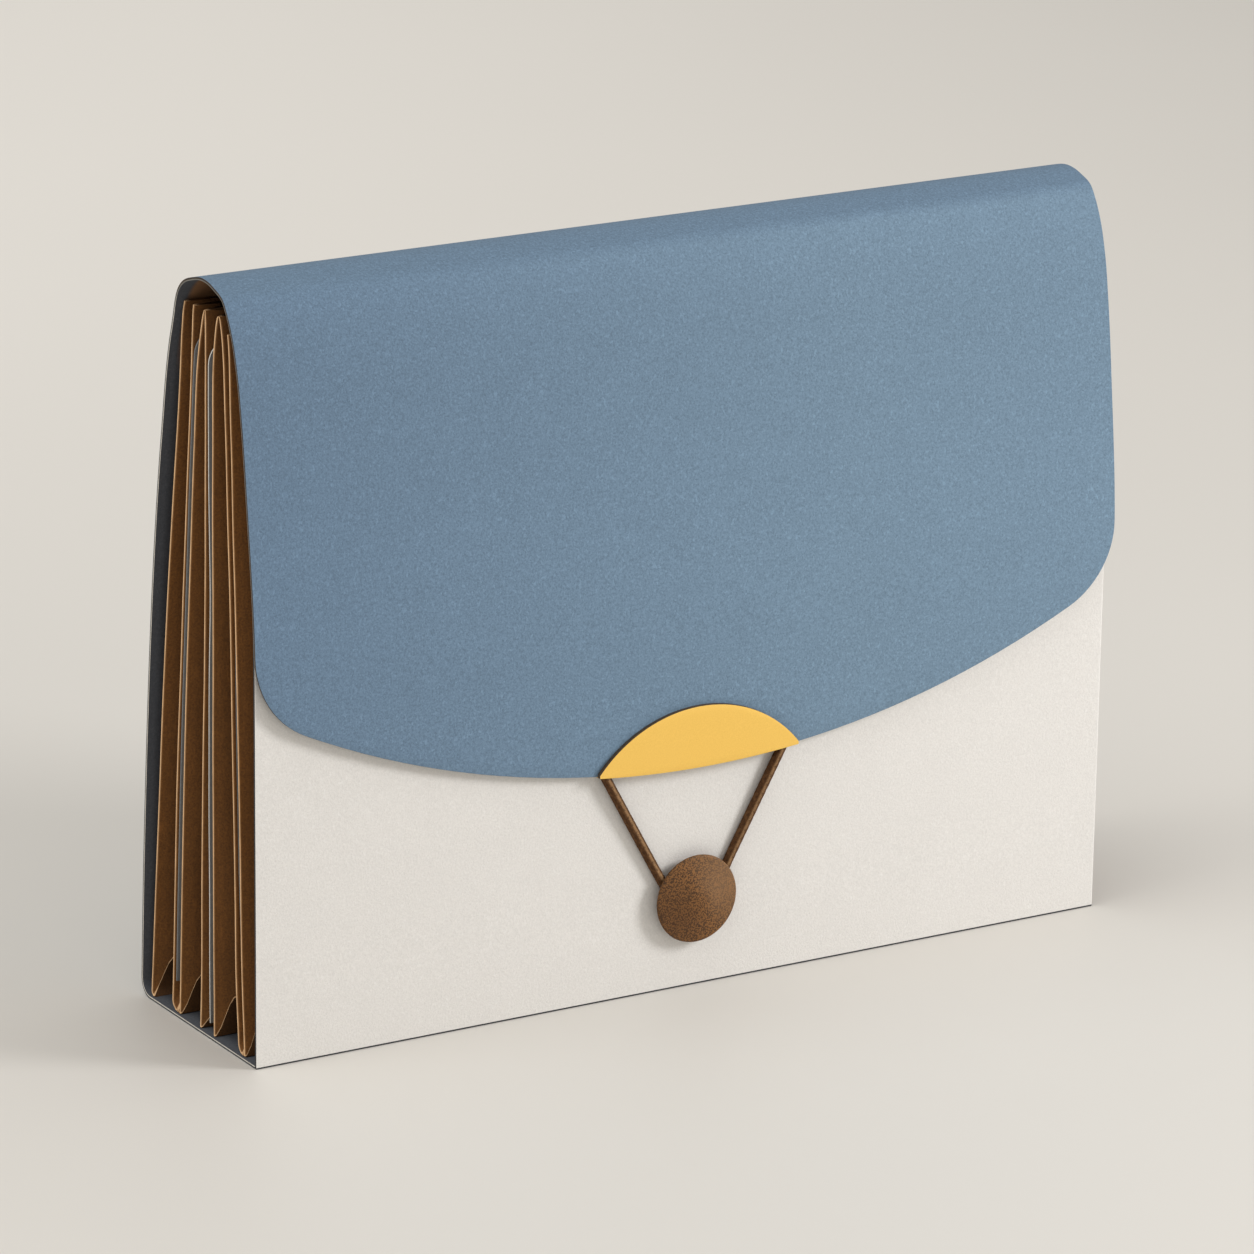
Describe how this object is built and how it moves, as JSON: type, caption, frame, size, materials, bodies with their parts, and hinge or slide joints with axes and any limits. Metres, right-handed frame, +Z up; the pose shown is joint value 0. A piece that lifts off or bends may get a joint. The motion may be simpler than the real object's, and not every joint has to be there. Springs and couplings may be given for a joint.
{
  "type": "expanding file folder",
  "caption": "Expanding file folder with a blue-grey wrap-around cover, four pleated kraft pockets, a half-moon tab and an elastic loop hooked on a round button.",
  "frame": {"origin": "middle of the underside of the overall box", "axes": "+X across the width, +Y from the front to the back, +Z up"},
  "size_m": [0.333, 0.0918, 0.2607],
  "materials": {
    "blue_board": "matte blue-grey laminated board with a fine paper grain",
    "slate_lining": "matte near-black slate board",
    "cream_board": "matte cream paper-faced board",
    "grey_card": "matte grey-blue card",
    "kraft_paper": "dark brown kraft paper, lighter where folded",
    "yellow_card": "smooth warm yellow card",
    "brown_button": "satin brown plastic",
    "brown_elastic": "woven round elastic, dark brown",
    "rivet_metal": "dull metal"
  },
  "bodies": {
    "case": {"back_panel": "blue_board", "bottom_panel": "slate_lining", "gusset_left_1": "kraft_paper", "gusset_right_1": "kraft_paper", "gusset_bottom_1": "kraft_paper"},
    "divider_1_set": {"divider_1": "grey_card", "gusset_left_2": "kraft_paper", "gusset_right_2": "kraft_paper", "gusset_bottom_2": "kraft_paper"},
    "divider_2_set": {"divider_2": "grey_card", "gusset_left_3": "kraft_paper", "gusset_right_3": "kraft_paper", "gusset_bottom_3": "kraft_paper"},
    "divider_3_set": {"divider_3": "grey_card", "gusset_left_4": "kraft_paper", "gusset_right_4": "kraft_paper", "gusset_bottom_4": "kraft_paper"},
    "front_set": {"front_panel": "cream_board", "button_head": "brown_button", "button_collar": "brown_button", "button_rivet": "rivet_metal", "button_washer": "rivet_metal"},
    "roll_rear_strip": {"roll_rear": "blue_board"},
    "roll_front_strip": {"roll_front": "blue_board"},
    "flap_set": {"flap_panel": "blue_board", "tab": "yellow_card", "tab_backing": "yellow_card"},
    "loop": {"elastic_loop": "brown_elastic"}
  },
  "joints": [
    {"name": "flap_lift", "type": "hinge", "parent": "case", "child": "roll_rear_strip", "pos_m": [0, 0.00882, 0.25313], "axis": [-1, 0, 0], "range_deg": [0, 66]},
    {"name": "roll_top_bend", "type": "hinge", "parent": "roll_rear_strip", "child": "roll_front_strip", "pos_m": [0, -0.00954, 0.2607], "axis": [-1, 0, 0], "range_deg": [0, 66]},
    {"name": "roll_front_bend", "type": "hinge", "parent": "roll_front_strip", "child": "flap_set", "pos_m": [0, -0.027, 0.25236], "axis": [-1, 0, 0], "range_deg": [0, 66]},
    {"name": "pocket_1_fan", "type": "hinge", "parent": "case", "child": "divider_1_set", "pos_m": [0, -0.03766, 0.0005], "axis": [1, 0, 0], "range_deg": [0, 3], "deforming": ["gusset_left_1", "gusset_right_1", "gusset_bottom_1"]},
    {"name": "pocket_2_fan", "type": "hinge", "parent": "divider_1_set", "child": "divider_2_set", "pos_m": [0, -0.03766, 0.0005], "axis": [1, 0, 0], "range_deg": [0, 3], "deforming": ["gusset_left_2", "gusset_right_2", "gusset_bottom_2"]},
    {"name": "pocket_3_fan", "type": "hinge", "parent": "divider_2_set", "child": "divider_3_set", "pos_m": [0, -0.03766, 0.0005], "axis": [1, 0, 0], "range_deg": [0, 3], "deforming": ["gusset_left_3", "gusset_right_3", "gusset_bottom_3"]},
    {"name": "pocket_4_fan", "type": "hinge", "parent": "divider_3_set", "child": "front_set", "pos_m": [0, -0.03766, 0.0005], "axis": [1, 0, 0], "range_deg": [0, 3], "deforming": ["gusset_left_4", "gusset_right_4", "gusset_bottom_4"]},
    {"name": "loop_stretch", "type": "slide", "parent": "flap_set", "child": "loop", "axis": [0, 0, -1], "range_m": [0, 0.012], "stiffness_N_per_m": 60, "deforming": ["elastic_loop"]}
  ],
  "couplings": [
    {"joint": "roll_top_bend", "follows": "flap_lift", "ratio": 1},
    {"joint": "roll_front_bend", "follows": "flap_lift", "ratio": 1},
    {"joint": "pocket_1_fan", "follows": "flap_lift", "ratio": 0.045455},
    {"joint": "pocket_2_fan", "follows": "flap_lift", "ratio": 0.045455},
    {"joint": "pocket_3_fan", "follows": "flap_lift", "ratio": 0.045455},
    {"joint": "pocket_4_fan", "follows": "flap_lift", "ratio": 0.045455}
  ]
}
